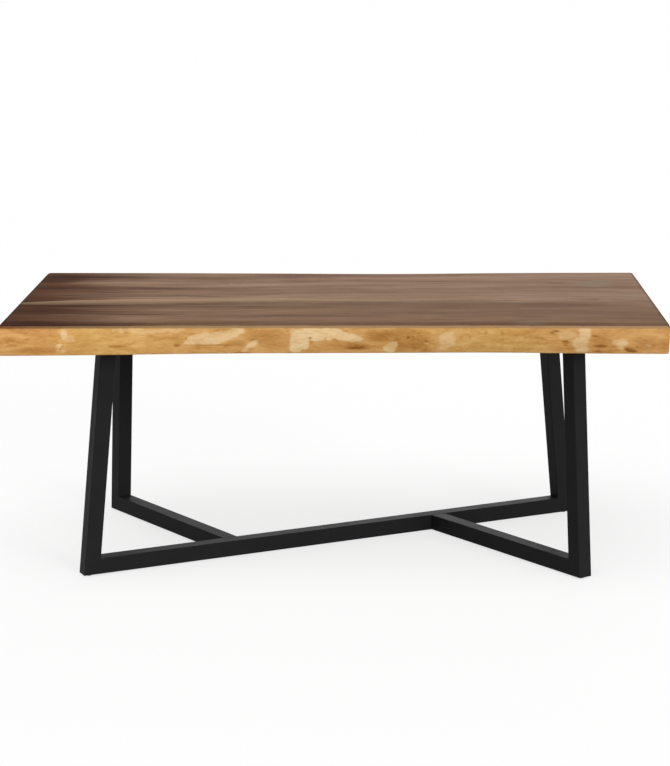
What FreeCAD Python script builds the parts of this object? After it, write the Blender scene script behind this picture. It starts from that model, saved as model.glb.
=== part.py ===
"""Live-edge dining table on a black square-tube base, in millimetres.

The origin is on the floor under the middle of the tabletop. X runs along the table, Z points up,
and the front of the table is at -Y. One long floor rail runs from the front left foot to the rear
right foot, and two short floor rails run from the other two feet to its sides. Each foot carries
a leaning leg that is mitred to its rail, a bolted top plate and a levelling glide.
"""
import FreeCAD, Part
import math
import os

from FreeCAD import Placement, Rotation, Vector

# Tabletop
slab_length = 1870.0
slab_width = 1032.0
slab_thickness = 81.0
table_height = 751.0
left_end_skew = 19.0
right_end_skew = 6.0
slab_corner_radius = 9.0
top_arris_radius = 5.5
bottom_arris_radius = 4.0

# Live edges: shares of the slab's width by which each level stands back from its half width
station_shares = (-0.5, -0.34, -0.2, -0.05, 0.1, 0.25, 0.36, 0.5)
front_bottom_shares = (0.0, 0.018, 0.040, 0.053, 0.061, 0.069, 0.061, 0.057)
front_belly_shares = (0.004, 0.017, 0.033, 0.041, 0.044, 0.052, 0.046, 0.047)
front_top_shares = (0.018, 0.025, 0.033, 0.038, 0.042, 0.046, 0.044, 0.045)
back_bottom_shares = (0.036, 0.035, 0.045, 0.046, 0.052, 0.037, 0.023, 0.014)
back_belly_shares = (0.027, 0.024, 0.031, 0.033, 0.039, 0.020, 0.011, 0.002)
back_top_shares = (0.026, 0.025, 0.027, 0.033, 0.035, 0.017, 0.007, 0.0)
belly_height_share = 0.52

# Base
tube_side = 46.5
tube_wall = 2.5
tube_corner_radius = 2.7
foot_end_inset = 212.0
foot_side_inset = 134.5
base_shift_x = 1.5
base_shift_y = 9.0
rear_feet_shift_x = 3.5
long_leg_lean_share = 0.1025
short_leg_lean_share = 0.067
left_joint_share = 0.2915
right_joint_share = 0.298
vent_radius = 4.0
vent_inset = 95.0

# Top plates under the slab
plate_length = 150.0
plate_width = 110.0
plate_thickness = 6.0
plate_corner_radius = 10.0
plate_vent_radius = 6.0
slot_width = 9.0
slot_length = 16.0
slot_pitch_x = 114.0
slot_pitch_y = 74.0

# Plate screws, washers and threaded inserts
screw_radius = 4.0
screw_length = 30.0
screw_head_radius = 7.0
screw_rim_height = 1.0
screw_shoulder_radius = 6.2
screw_shoulder_height = 2.9
screw_crown_radius = 4.2
screw_head_height = 4.4
socket_across_flats = 5.0
socket_depth = 2.6
washer_radius = 12.0
washer_thickness = 2.0
washer_clearance = 0.4
insert_radius = 6.5
insert_length = 25.0
insert_flange_radius = 8.5
insert_flange_thickness = 1.5
insert_seat_clearance = 0.15
insert_hole_spare = 6.0
thread_clearance = 0.2

# Levelling glides
sole_radius = 10.5
sole_thickness = 2.0
sole_edge_radius = 0.6
sole_pin_radius = 3.0
sole_pin_length = 2.4
sole_pin_clearance = 0.3
glide_hex_across_flats = 17.0
glide_hex_thickness = 2.0
glide_hex_chamfer = 0.5
stem_radius = 5.0
stem_length = 34.0
stem_tip_chamfer = 1.0
glide_inset = 20.0
nut_flange_radius = 9.0
nut_flange_thickness = 0.6
nut_barrel_radius = 6.5
nut_length = 20.0
nut_bulge_radius = 8.6
nut_bulge_height = 4.0
nut_seat_clearance = 0.15

# Places that follow from the sizes above
rail_bottom = sole_thickness + glide_hex_thickness + nut_flange_thickness
rail_axis = rail_bottom + tube_side / 2
slab_bottom = table_height - slab_thickness
plate_bottom = slab_bottom - plate_thickness
washer_bottom = plate_bottom - washer_thickness
foot_half_x = slab_length / 2 - foot_end_inset
foot_half_y = slab_width / 2 - foot_side_inset
reach = slab_length + slab_width + table_height
overrun = tube_wall
UP = Vector(0, 0, 1)


def beyond(point, direction):
    """A block that fills the space on one side of a plane, the side the direction points to."""
    block = Part.makeBox(reach, reach, reach, Vector(-reach / 2, -reach / 2, 0))
    block.Placement = Placement(point, Rotation(UP, direction))
    return block


def disc(radius, height, centre):
    return Part.makeCylinder(radius, height, centre, UP)


def rounded_rectangle(length, width, radius):
    """A face about the origin in the XY plane, with quarter-round corners."""
    x = length / 2 - radius
    y = width / 2 - radius
    arcs = []
    for turn, (cx, cy) in enumerate(((x, y), (-x, y), (-x, -y), (x, -y))):
        angles = [math.pi / 2 * turn + step for step in (0.0, math.pi / 4, math.pi / 2)]
        arcs.append([Vector(cx + radius * math.cos(a), cy + radius * math.sin(a), 0) for a in angles])
    edges = []
    for arc, following in zip(arcs, arcs[1:] + arcs[:1]):
        edges.append(Part.Arc(*arc).toShape())
        edges.append(Part.LineSegment(arc[2], following[0]).toShape())
    return Part.Face(Part.Wire(edges))


def revolved(profile, centre):
    """Turns a closed profile of (radius, height) points round a vertical axis through the centre."""
    points = [Vector(radius, 0, height) for radius, height in profile]
    face = Part.Face(Part.makePolygon(points + points[:1]))
    solid = face.revolve(Vector(0, 0, 0), UP, 360)
    solid.translate(centre)
    return solid


def hexagon_prism(across_flats, height, centre):
    corner = across_flats / math.sqrt(3)
    points = [Vector(corner * math.cos(math.pi / 3 * k), corner * math.sin(math.pi / 3 * k), 0)
              for k in range(7)]
    prism = Part.Face(Part.makePolygon(points)).extrude(UP * height)
    prism.translate(centre)
    return prism


def export(node, solids):
    shape = solids[0] if len(solids) == 1 else Part.makeCompound(solids)
    shape.exportStep(os.path.join("parts", node + ".step"))


def end_x(side, y):
    """Where the sawn end on the left (-1) or right (+1) lies at a given y."""
    if side < 0:
        return -slab_length / 2 + left_end_skew * (0.5 - y / slab_width)
    return slab_length / 2 - right_end_skew * (0.5 + y / slab_width)


def live_edge(setback_shares, side, height):
    """One level of a live edge on the front (-1) or back (+1): its points from left to right."""
    points = []
    for station, share in zip(station_shares, setback_shares):
        y = side * slab_width * (0.5 - share)
        x = end_x(-1, y) + (station + 0.5) * (end_x(1, y) - end_x(-1, y))
        points.append(Vector(x, y, height))
    return points


def slab_outline(front_shares, back_shares, height):
    """A closed outline at one level: two smooth live edges and two straight sawn ends."""
    front = live_edge(front_shares, -1, height)
    back = live_edge(back_shares, 1, height)
    front_curve = Part.BSplineCurve()
    front_curve.interpolate(front)
    back_curve = Part.BSplineCurve()
    back_curve.interpolate(back[::-1])
    return Part.Wire([
        front_curve.toShape(),
        Part.LineSegment(front[-1], back[-1]).toShape(),
        back_curve.toShape(),
        Part.LineSegment(back[0], front[0]).toShape(),
    ])


def level_edges(solid, height):
    """The edges that lie wholly at one height."""
    return [edge for edge in solid.Edges
            if abs(edge.BoundBox.ZMin - height) < overrun / 10 and abs(edge.BoundBox.ZMax - height) < overrun / 10]


def corner_edges(solid):
    """The upright edges, from the underside to the top."""
    return [edge for edge in solid.Edges if edge.BoundBox.ZLength > slab_thickness / 2]


def tabletop(plate_screw_places):
    levels = (
        (front_bottom_shares, back_bottom_shares, slab_bottom),
        (front_belly_shares, back_belly_shares, slab_bottom + slab_thickness * belly_height_share),
        (front_top_shares, back_top_shares, table_height),
    )
    slab = Part.makeLoft([slab_outline(*level) for level in levels], True, False)
    slab = slab.makeFillet(slab_corner_radius, corner_edges(slab))
    slab = slab.makeFillet(min(top_arris_radius, slab_thickness / 3), level_edges(slab, table_height))
    slab = slab.makeFillet(min(bottom_arris_radius, slab_thickness / 3), level_edges(slab, slab_bottom))
    holes = []
    for place in plate_screw_places:
        mouth = Vector(place.x, place.y, slab_bottom - overrun)
        holes.append(disc(insert_flange_radius + insert_seat_clearance, overrun + insert_flange_thickness, mouth))
        depth = overrun + insert_length + insert_hole_spare
        holes.append(disc(insert_radius + insert_seat_clearance, depth, mouth))
    return slab.cut(holes)


def tube(start, end, across):
    """A square tube with rounded corners between two points on its axis."""
    axis = (end - start).normalize()
    length = (end - start).Length
    hollow_side = tube_side - 2 * tube_wall
    inner_radius = max(tube_corner_radius - tube_wall, tube_wall / 5)
    outer = rounded_rectangle(tube_side, tube_side, tube_corner_radius).extrude(UP * length)
    inner = rounded_rectangle(hollow_side, hollow_side, inner_radius).extrude(UP * length)
    solid = outer.cut(inner)
    solid.Placement = Placement(start, Rotation(across, axis.cross(across), axis, "ZXY"))
    return solid


class Foot:
    """One foot of the base: where its rail's axis ends, where that points, and the leg's lean."""

    def __init__(self, name, end, target, lean):
        self.name = name
        self.end = end
        self.inward = (target - end).normalize()
        self.across = UP.cross(self.inward)
        self.lean = lean
        slant = math.sqrt(1 + lean ** 2)
        self.half_cut = tube_side / 2 * slant
        inner_corner = self.inward * tube_side * (lean + slant) + UP * tube_side
        normal = inner_corner.cross(self.across)
        self.mitre_normal = normal if normal.dot(self.inward) < 0 else normal * -1

    def on_floor_level(self, along, height):
        """A point of the rail's upright middle plane, along the rail from its outer end."""
        return Vector(self.end.x, self.end.y, height) + self.inward * along

    def leg_centre(self, height):
        return self.on_floor_level(self.half_cut + self.lean * (height - rail_bottom), height)

    def mitre_point(self):
        return self.on_floor_level(0, rail_bottom)

    def plate_centre(self):
        return self.leg_centre(plate_bottom)

    def glide_centre(self, height):
        return self.on_floor_level(glide_inset, height)

    def screw_places(self, height):
        centre = self.plate_centre()
        return [Vector(centre.x + sx * slot_pitch_x / 2, centre.y + sy * slot_pitch_y / 2, height)
                for sx in (-1, 1) for sy in (-1, 1)]


def leg(foot):
    """A leaning tube, mitred to its rail at the foot and cut level under the top plate."""
    solid = tube(foot.leg_centre(rail_bottom - tube_side), foot.leg_centre(table_height), foot.across)
    solid = solid.cut(beyond(foot.mitre_point(), foot.mitre_normal * -1))
    return solid.cut(beyond(foot.plate_centre(), UP))


def bottom_holes(foot):
    """The glide nut's hole and the coating vent in the underside of a rail, near one foot."""
    depth = tube_wall + 2 * overrun
    height = rail_bottom - overrun
    nut_hole = disc(nut_barrel_radius + nut_seat_clearance, depth, foot.glide_centre(height))
    vent = disc(vent_radius, depth, foot.on_floor_level(vent_inset, height))
    return [nut_hole, vent]


def long_rail(front_foot, rear_foot):
    """The diagonal rail, mitred at both ends."""
    solid = tube(front_foot.on_floor_level(-tube_side, rail_axis),
                 rear_foot.on_floor_level(-tube_side, rail_axis), front_foot.across)
    for foot in (front_foot, rear_foot):
        solid = solid.cut([beyond(foot.mitre_point(), foot.mitre_normal)] + bottom_holes(foot))
    return solid


def short_rail(foot, joint, long_across):
    """A rail from one foot, mitred there and cut to lie against the side of the long rail."""
    toward_long = long_across if long_across.dot(foot.inward) > 0 else long_across * -1
    solid = tube(foot.on_floor_level(-tube_side, rail_axis), Vector(joint.x, joint.y, rail_axis), foot.across)
    side_face = joint - toward_long * (tube_side / 2)
    return solid.cut([beyond(foot.mitre_point(), foot.mitre_normal), beyond(side_face, toward_long)]
                     + bottom_holes(foot))


def slot(centre):
    """A slot across the grain, so that the slab can swell and shrink."""
    straight = slot_length - slot_width
    depth = plate_thickness + 2 * overrun
    base = centre - UP * overrun
    middle = Part.makeBox(slot_width, straight, depth, base - Vector(slot_width / 2, straight / 2, 0))
    rounds = [disc(slot_width / 2, depth, base + Vector(0, side * straight / 2, 0)) for side in (-1, 1)]
    return middle.fuse(rounds).removeSplitter()


def top_plate(foot):
    plate = rounded_rectangle(plate_length, plate_width, plate_corner_radius).extrude(UP * plate_thickness)
    plate.translate(foot.plate_centre())
    vent = disc(plate_vent_radius, plate_thickness + 2 * overrun, foot.plate_centre() - UP * overrun)
    return plate.cut([vent] + [slot(place) for place in foot.screw_places(plate_bottom)])


def button_screw(seat):
    """A domed socket screw: its head hangs below the seat and its shank stands above it."""
    solid = revolved(((0, -screw_head_height), (screw_crown_radius, -screw_head_height),
                      (screw_shoulder_radius, -screw_shoulder_height), (screw_head_radius, -screw_rim_height),
                      (screw_head_radius, 0), (screw_radius, 0), (screw_radius, screw_length),
                      (0, screw_length)), seat)
    return solid.cut(hexagon_prism(socket_across_flats, socket_depth, seat - UP * screw_head_height))


def washer(centre):
    hole = disc(screw_radius + washer_clearance, washer_thickness, centre)
    return disc(washer_radius, washer_thickness, centre).cut(hole)


def thread_insert(mouth):
    """A flanged threaded insert, flush with the underside of the slab."""
    bore = screw_radius + thread_clearance
    return revolved(((bore, 0), (insert_flange_radius, 0), (insert_flange_radius, insert_flange_thickness),
                     (insert_radius, insert_flange_thickness), (insert_radius, insert_length),
                     (bore, insert_length)), mouth)


def glide_nut(flange_bottom):
    """A rivet nut: a thin flange under the rail, and a bulge that grips the wall from inside."""
    bore = stem_radius + thread_clearance
    wall_top = nut_flange_thickness + tube_wall
    return revolved(((bore, 0), (nut_flange_radius, 0), (nut_flange_radius, nut_flange_thickness),
                     (nut_barrel_radius, nut_flange_thickness), (nut_barrel_radius, wall_top),
                     (nut_bulge_radius, wall_top), (nut_barrel_radius, wall_top + nut_bulge_height),
                     (nut_barrel_radius, nut_length), (bore, nut_length)), flange_bottom)


def glide_sole(centre):
    """The plastic disc on the floor, with a pin that snaps up into the glide screw."""
    edge = sole_edge_radius
    return revolved(((0, 0), (sole_radius - edge, 0), (sole_radius, edge), (sole_radius, sole_thickness),
                     (sole_pin_radius, sole_thickness), (sole_pin_radius, sole_thickness + sole_pin_length),
                     (0, sole_thickness + sole_pin_length)), centre)


def glide_screw(centre):
    """The hexagon base that a spanner turns, with its threaded stem and the recess for the pin."""
    corner = glide_hex_across_flats / math.sqrt(3)
    flat_radius = corner - glide_hex_chamfer
    rounding = revolved(((0, 0), (flat_radius, 0), (corner, glide_hex_chamfer),
                         (corner, glide_hex_thickness - glide_hex_chamfer),
                         (flat_radius, glide_hex_thickness), (0, glide_hex_thickness)), centre)
    base = hexagon_prism(glide_hex_across_flats, glide_hex_thickness, centre).common(rounding)
    top = glide_hex_thickness + stem_length
    stem = revolved(((0, 0), (stem_radius, 0), (stem_radius, top - stem_tip_chamfer),
                     (stem_radius - stem_tip_chamfer, top), (0, top)), centre)
    recess = disc(sole_pin_radius + sole_pin_clearance, sole_pin_length + sole_pin_clearance, centre)
    return base.fuse(stem).cut(recess)


os.makedirs("parts", exist_ok=True)

front_left_end = Vector(base_shift_x - foot_half_x, base_shift_y - foot_half_y, 0)
front_right_end = Vector(base_shift_x + foot_half_x, base_shift_y - foot_half_y, 0)
rear_left_end = Vector(base_shift_x + rear_feet_shift_x - foot_half_x, base_shift_y + foot_half_y, 0)
rear_right_end = Vector(base_shift_x + rear_feet_shift_x + foot_half_x, base_shift_y + foot_half_y, 0)
diagonal = rear_right_end - front_left_end
left_joint = front_left_end + diagonal * left_joint_share
right_joint = rear_right_end - diagonal * right_joint_share

front_left = Foot("front_left", front_left_end, rear_right_end, long_leg_lean_share)
rear_right = Foot("rear_right", rear_right_end, front_left_end, long_leg_lean_share)
rear_left = Foot("rear_left", rear_left_end, left_joint, short_leg_lean_share)
front_right = Foot("front_right", front_right_end, right_joint, short_leg_lean_share)
feet = (front_left, front_right, rear_left, rear_right)

insert_places = [place for foot in feet for place in foot.screw_places(slab_bottom)]
export("tabletop", [tabletop(insert_places)])
export("floor_rail_long", [long_rail(front_left, rear_right)])
export("floor_rail_left", [short_rail(rear_left, left_joint, front_left.across)])
export("floor_rail_right", [short_rail(front_right, right_joint, front_left.across)])
for foot in feet:
    export("leg_" + foot.name, [leg(foot)])
    export("top_plate_" + foot.name, [top_plate(foot)])
    export("plate_screws_" + foot.name, [button_screw(place) for place in foot.screw_places(washer_bottom)])
    export("plate_washers_" + foot.name, [washer(place) for place in foot.screw_places(washer_bottom)])
    export("thread_inserts_" + foot.name, [thread_insert(place) for place in foot.screw_places(slab_bottom)])
    export("glide_nut_" + foot.name, [glide_nut(foot.glide_centre(sole_thickness + glide_hex_thickness))])
    export("glide_screw_" + foot.name, [glide_screw(foot.glide_centre(sole_thickness))])
    export("glide_sole_" + foot.name, [glide_sole(foot.glide_centre(0))])
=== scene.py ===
"""Looks of a live-edge dining table: an oiled hardwood slab on a black powder-coated base of square tube.

Everything is in metres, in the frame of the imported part: X along the table, the front at -Y, Z up.
The slab, the weld beads and the threaded glide screws are surfaces of two parameters, worked out as
whole arrays. The other pieces keep their solids and get procedural finishes.
"""

import math

import bmesh
import bpy
import numpy as np
from mathutils import Matrix, Vector

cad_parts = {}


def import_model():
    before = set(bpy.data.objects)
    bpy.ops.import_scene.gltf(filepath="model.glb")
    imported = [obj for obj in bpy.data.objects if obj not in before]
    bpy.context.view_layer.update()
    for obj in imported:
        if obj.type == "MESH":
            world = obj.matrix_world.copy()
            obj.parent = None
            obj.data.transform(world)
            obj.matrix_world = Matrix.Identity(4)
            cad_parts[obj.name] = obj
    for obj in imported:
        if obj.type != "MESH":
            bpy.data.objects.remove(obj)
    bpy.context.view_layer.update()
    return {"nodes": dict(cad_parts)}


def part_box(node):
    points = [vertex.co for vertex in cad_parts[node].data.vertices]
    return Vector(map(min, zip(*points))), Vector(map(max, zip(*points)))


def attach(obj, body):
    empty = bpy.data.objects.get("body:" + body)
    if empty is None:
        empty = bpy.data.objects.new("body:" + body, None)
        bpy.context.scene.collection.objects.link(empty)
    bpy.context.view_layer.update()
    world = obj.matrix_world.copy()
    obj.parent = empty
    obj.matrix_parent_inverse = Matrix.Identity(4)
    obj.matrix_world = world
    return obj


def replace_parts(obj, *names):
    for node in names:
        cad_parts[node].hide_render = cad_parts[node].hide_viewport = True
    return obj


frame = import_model()
CORNERS = ("front_left", "front_right", "rear_left", "rear_right")
TURN = 2 * math.pi

# Slab, as the solid has it: its heights, its length and width, and the setbacks of the live edges as shares
# of the width, in rows for the underside, the belly and the top
slab_low, slab_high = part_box("tabletop")
table_height = slab_high.z
slab_bottom = slab_low.z
slab_thickness = table_height - slab_bottom
slab_length = 1.87
slab_width = 1.032
left_end_skew = 0.019
right_end_skew = 0.006
top_arris_radius = 0.0055
bottom_arris_radius = 0.004
end_corner_radius = 0.009
end_arris_radius = 0.003
station_shares = (-0.5, -0.34, -0.2, -0.05, 0.1, 0.25, 0.36, 0.5)
front_setbacks = ((0.0, 0.018, 0.04, 0.053, 0.061, 0.069, 0.061, 0.057),
                  (0.004, 0.017, 0.033, 0.041, 0.044, 0.052, 0.046, 0.047),
                  (0.018, 0.025, 0.033, 0.038, 0.042, 0.046, 0.044, 0.045))
back_setbacks = ((0.036, 0.035, 0.045, 0.046, 0.052, 0.037, 0.023, 0.014),
                 (0.027, 0.024, 0.031, 0.033, 0.039, 0.02, 0.011, 0.002),
                 (0.026, 0.025, 0.027, 0.033, 0.035, 0.017, 0.007, 0.0))
belly_share = 0.52

# Sapwood: how far it reaches in, the brown line at the arris, and the spans over which the painted shade
# along the top's front edge and the dark rim by the ends fade out
sapwood_at_top = 0.006
sapwood_at_bottom = 0.07
sapwood_blend = 0.009
arris_stain_share = 0.55
arris_stain_span = (-0.002, 0.006)
# Painted shade along the top's front edge fades out over this span
painted_edge_shade_span = (0.06, 0.01)
end_rim_span = (0.009, 0.003)
patch_border = 0.005
patch_limit = 4
mark_limit = 9
streak_narrowest = 0.002

# Relief of the live edges, calm beside the arrises; how seeded waves turn, stretch and narrow; and how far
# they warp the patches
swell_height = 0.0007
swell_length = 0.11
ripple_height = 0.0003
ripple_length = 0.03
calm_below = 0.012
calm_above = 0.016
wave_turn = 0.6
wave_stretch = (0.6, 1.6)
wave_narrowing = 2.5
warp_along = 0.0022
warp_along_length = 0.035
warp_up = 0.0016
warp_up_length = 0.03

# The tree's pith: its middle, the height, length and phase of its wanderings, and the blend of its flanks
pith_middle_y = -0.055
pith_middle_z = 0.648
pith_wander_y = ((0.035, 2.6, 0), (0.008, 0.7, 2))
pith_wander_z = ((0.012, 1.3, 1),)
growth_wave_height = 0.005
growth_wave_length = 0.5
flank_blend = 0.06

# Grids, the distance within which points are one, the angle of a sharp edge, and where a wear counts as flat
length_cells = 360
depth_cells = 96
side_cells = 30
arris_cells = 6
merge_distance = 2e-6
sharp_angle = 55
flat = 0.999

# Pale patches of the front live edge: level, then the outline's x and z in millimetres
front_patches = (
    (0.7, ((-742, 739), (-729, 740), (-726, 729), (-727, 721), (-737, 714), (-742, 724))),
    (0.35, ((-734, 721), (-726, 724), (-707, 723), (-707, 711), (-715, 708), (-732, 709))),
    (0.65, ((-753, 700), (-742, 701), (-741, 693), (-747, 689), (-753, 690))),
    (0.7, ((-757, 690), (-746, 691), (-745, 681), (-756, 681))),
    (0.7, ((-743, 687), (-729, 688), (-729, 680), (-743, 680))),
    (0.75, ((-409, 699), (-400, 708), (-387, 721), (-368, 727), (-343, 730), (-315, 734), (-293, 735),
            (-271, 741), (-237, 743), (-238, 730), (-255, 725), (-266, 719), (-283, 710), (-302, 706),
            (-319, 699), (-360, 699), (-388, 700))),
    (0.9, ((-252, 673), (-240, 688), (-227, 699), (-212, 710), (-199, 710), (-200, 700), (-215, 690),
           (-229, 678), (-240, 672))),
    (0.95, ((-113, 742), (-83, 743), (-28, 742), (16, 742), (30, 738), (43, 730), (60, 726), (76, 721),
            (92, 713), (82, 707), (60, 705), (43, 708), (27, 712), (10, 714), (-8, 712), (-12, 718),
            (-17, 717), (-20, 710), (-40, 708), (-51, 711), (-52, 720), (-59, 720), (-61, 707), (-60, 695),
            (-66, 685), (-80, 683), (-85, 672), (-105, 672), (-111, 682), (-114, 695), (-113, 719))),
    (0.75, ((148, 689), (161, 701), (172, 706), (183, 705), (186, 696), (180, 686), (174, 675), (162, 674),
            (151, 680))),
    (0.5, ((259, 702), (270, 701), (270, 696), (259, 697))),
    (0.5, ((303, 722), (322, 734), (338, 733), (345, 716), (344, 697), (333, 685), (318, 674), (285, 672),
           (292, 682), (299, 693), (297, 708))),
    (0.5, ((621, 735), (638, 739), (665, 738), (678, 728), (671, 712), (655, 710), (633, 715), (621, 723))),
    (0.75, ((683, 744), (714, 744), (715, 728), (718, 717), (715, 707), (711, 696), (712, 684), (709, 672),
            (680, 671), (674, 682), (669, 690), (663, 702), (667, 711), (672, 718), (683, 721),
            (686, 731))),
    (0.75, ((775, 708), (784, 712), (818, 711), (820, 702), (812, 691), (807, 679), (800, 679), (790, 691),
            (779, 698))),
    (0.4, ((-602, 743), (-400, 742), (-400, 737), (-500, 731), (-600, 736))),
    (0.25, ((864, 697), (872, 703), (883, 700), (886, 691), (875, 685), (866, 688))))
front_patches = [(level, [(x / 1000, z / 1000) for x, z in outline]) for level, outline in front_patches]
# Amber marks of the front live edge: x, z, half length, half height and strength, and where one isn't a
# level ellipse, its tilt in degrees and its squareness
front_amber = (
    (-0.8, 0.686, 0.07, 0.014, 0.6, 0, 3), (-0.69, 0.704, 0.052, 0.036, 0.45, 0, 3),
    (-0.86, 0.706, 0.03, 0.012, 0.4), (-0.8, 0.71, 0.04, 0.03, 0.35, 0, 3),
    (-0.589, 0.694, 0.034, 0.007, 0.8), (-0.418, 0.714, 0.022, 0.026, 0.4, 0, 3),
    (-0.424, 0.697, 0.014, 0.008, 0.8), (-0.264, 0.697, 0.04, 0.014, 0.6, 8, 3),
    (-0.183, 0.722, 0.062, 0.024, 0.5, 0, 4), (-0.155, 0.698, 0.048, 0.026, 0.4, 0, 3),
    (0.145, 0.722, 0.06, 0.022, 0.75, 0, 3), (0.073, 0.69, 0.05, 0.012, 0.8, 0, 3),
    (0.215, 0.71, 0.07, 0.038, 0.75, 0, 4), (0.02, 0.692, 0.07, 0.018, 0.4, 0, 3),
    (0.648, 0.702, 0.016, 0.008, 0.8), (0.743, 0.708, 0.032, 0.036, 0.5, 0, 3),
    (0.754, 0.692, 0.028, 0.012, 0.5), (0.828, 0.682, 0.024, 0.011, 0.9, -15),
    (0.867, 0.7, 0.045, 0.028, 0.5, 0, 3), (0.429, 0.73, 0.007, 0.007, 0.7),
    (0.473, 0.73, 0.007, 0.01, 0.7), (0.36, 0.717, 0.005, 0.005, 0.7), (0.385, 0.718, 0.005, 0.005, 0.7),
    (0.613, 0.73, 0.014, 0.01, 0.6, -20), (-0.056, 0.701, 0.012, 0.011, 0.5))
# Dark flecks of the front live edge, in the same terms
front_flecks = (
    (0.623, 0.736, 0.013, 0.004, 0.8, -8), (0.609, 0.731, 0.006, 0.005, 0.7),
    (0.647, 0.707, 0.013, 0.004, 1.0), (0.65, 0.695, 0.01, 0.003, 0.8), (0.728, 0.722, 0.02, 0.005, 0.45),
    (0.743, 0.694, 0.028, 0.0065, 0.7), (0.741, 0.677, 0.023, 0.003, 0.7),
    (0.818, 0.684, 0.008, 0.0065, 1.0), (0.833, 0.678, 0.02, 0.004, 1.0),
    (0.845, 0.691, 0.006, 0.0035, 0.7), (0.705, 0.719, 0.003, 0.004, 0.8),
    (-0.835, 0.716, 0.012, 0.0035, 0.7, 5), (-0.872, 0.711, 0.009, 0.003, 0.5, 20),
    (-0.887, 0.705, 0.006, 0.003, 0.5), (-0.738, 0.695, 0.005, 0.003, 0.8),
    (-0.743, 0.689, 0.004, 0.003, 0.8), (-0.605, 0.695, 0.019, 0.0035, 0.45, 4),
    (-0.58, 0.698, 0.012, 0.0025, 0.5, 6), (-0.319, 0.696, 0.093, 0.0025, 0.7),
    (-0.425, 0.695, 0.012, 0.005, 0.5), (-0.433, 0.714, 0.003, 0.018, 0.35),
    (-0.398, 0.714, 0.003, 0.012, 0.5, 20), (-0.214, 0.711, 0.014, 0.0035, 0.5, 20),
    (-0.056, 0.715, 0.006, 0.006, 0.5), (-0.012, 0.717, 0.005, 0.0035, 0.5),
    (0.054, 0.7, 0.026, 0.003, 0.6, -6), (0.073, 0.687, 0.035, 0.0055, 0.6),
    (0.205, 0.717, 0.002, 0.009, 0.8), (0.212, 0.716, 0.002, 0.009, 0.7), (0.219, 0.717, 0.002, 0.008, 0.8),
    (0.227, 0.719, 0.002, 0.007, 0.6), (0.264, 0.706, 0.009, 0.0025, 0.8),
    (0.237, 0.687, 0.017, 0.003, 0.4), (0.296, 0.71, 0.002, 0.018, 0.5, 5),
    (0.38, 0.725, 0.005, 0.003, 0.6), (0.476, 0.728, 0.003, 0.005, 0.6),
    (0.866, 0.71, 0.02, 0.003, 0.4, -8), (0.878, 0.689, 0.017, 0.003, 0.4, 6))
# Knots of the front live edge: x, z, radius, rise
front_knots = (
    (-0.747, 0.691, 0.012, 0.0012), (-0.418, 0.721, 0.008, 0.0009), (0.264, 0.704, 0.008, -0.0008),
    (0.645, 0.702, 0.009, -0.0008), (0.826, 0.682, 0.012, -0.0012), (-0.863, 0.709, 0.014, 0.0007),
    (0.873, 0.697, 0.014, 0.0009))

# Figure of the top: the light streak's x, middle and half width, then smoky, dark and pale marks in the same
# terms with y for z, and knots as x, y, half length, half width and push
streak_path = (
    (-0.93, -0.117, 0.018), (-0.87, -0.11, 0.033), (-0.75, -0.095, 0.048), (-0.6, -0.083, 0.055),
    (-0.45, -0.07, 0.051), (-0.3, -0.054, 0.043), (-0.15, -0.045, 0.037), (0.0, -0.043, 0.027),
    (0.08, -0.046, 0.019), (0.16, -0.052, 0.01), (0.24, -0.058, 0.004), (0.29, -0.062, 0.0))
top_smoke = (
    (0.79, 0.29, 0.075, 0.11, 1.0, -25), (0.56, -0.43, 0.07, 0.045, 0.7), (0.19, -0.23, 0.09, 0.06, 0.5),
    (0.88, 0.06, 0.05, 0.12, 0.6, -20), (-0.74, 0.43, 0.11, 0.045, 0.8))
# Dark marks of the figure; the large ones at the left corners and the one in the front middle are painted
# shade
top_dark_and_painted_shade = (
    (-0.62, 0.036, 0.26, 0.03, 1.5), (-0.7, 0.146, 0.13, 0.009, 0.9), (-0.75, -0.165, 0.17, 0.011, 0.9),
    (-0.868, 0.166, 0.075, 0.014, 1.0), (-0.385, 0.018, 0.085, 0.008, 0.8),
    (-0.265, 0.209, 0.17, 0.007, 0.7), (0.675, 0.288, 0.034, 0.011, 0.8), (-0.85, -0.44, 0.11, 0.03, 1.0),
    (-0.86, -0.15, 0.05, 0.012, 0.7), (-0.87, 0.35, 0.09, 0.11, 0.9), (-0.56, -0.3, 0.2, 0.022, 0.8, 2),
    (-0.06, -0.32, 0.3, 0.022, 0.6, 1), (0.33, -0.18, 0.16, 0.014, 0.5, -2),
    (0.12, 0.12, 0.2, 0.01, 0.5, 1), (0.56, -0.33, 0.08, 0.012, 0.6))
top_pale = (
    (-0.332, 0.262, 0.012, 0.014, 1.2), (-0.867, 0.206, 0.024, 0.008, 0.6),
    (0.32, -0.09, 0.06, 0.005, 0.5, -2))
top_knots = (
    (0.805, 0.318, 0.07, 0.06, 0.03), (-0.52, 0.33, 0.06, 0.03, 0.008), (-0.12, -0.33, 0.07, 0.03, 0.006),
    (0.33, -0.16, 0.12, 0.04, 0.008))

# Marks scattered over the back live edge: how far, and the ranges of their sizes, the last ones for the amber
# marks' half length, half height, tilt, squareness and strength
back_reach = 0.86
back_jitter = 0.05
back_margin = 0.022
amber_margin = 0.015
outline_points = 10
mark_half_length = (0.012, 0.06)
patch_half_height = (0.008, 0.022)
patch_reach = (0.6, 1.15)
patch_lean = (-0.8, 0.8)
patch_level = (0.3, 0.9)
amber_ranges = (mark_half_length, (0.007, 0.02), (-25, 25), (2, 3.5), (0.5, 1))


# Meshes

def placed(name, data):
    """A new object in the scene."""
    made = bpy.data.objects.new(name, data)
    bpy.context.scene.collection.objects.link(made)
    return made


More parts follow.
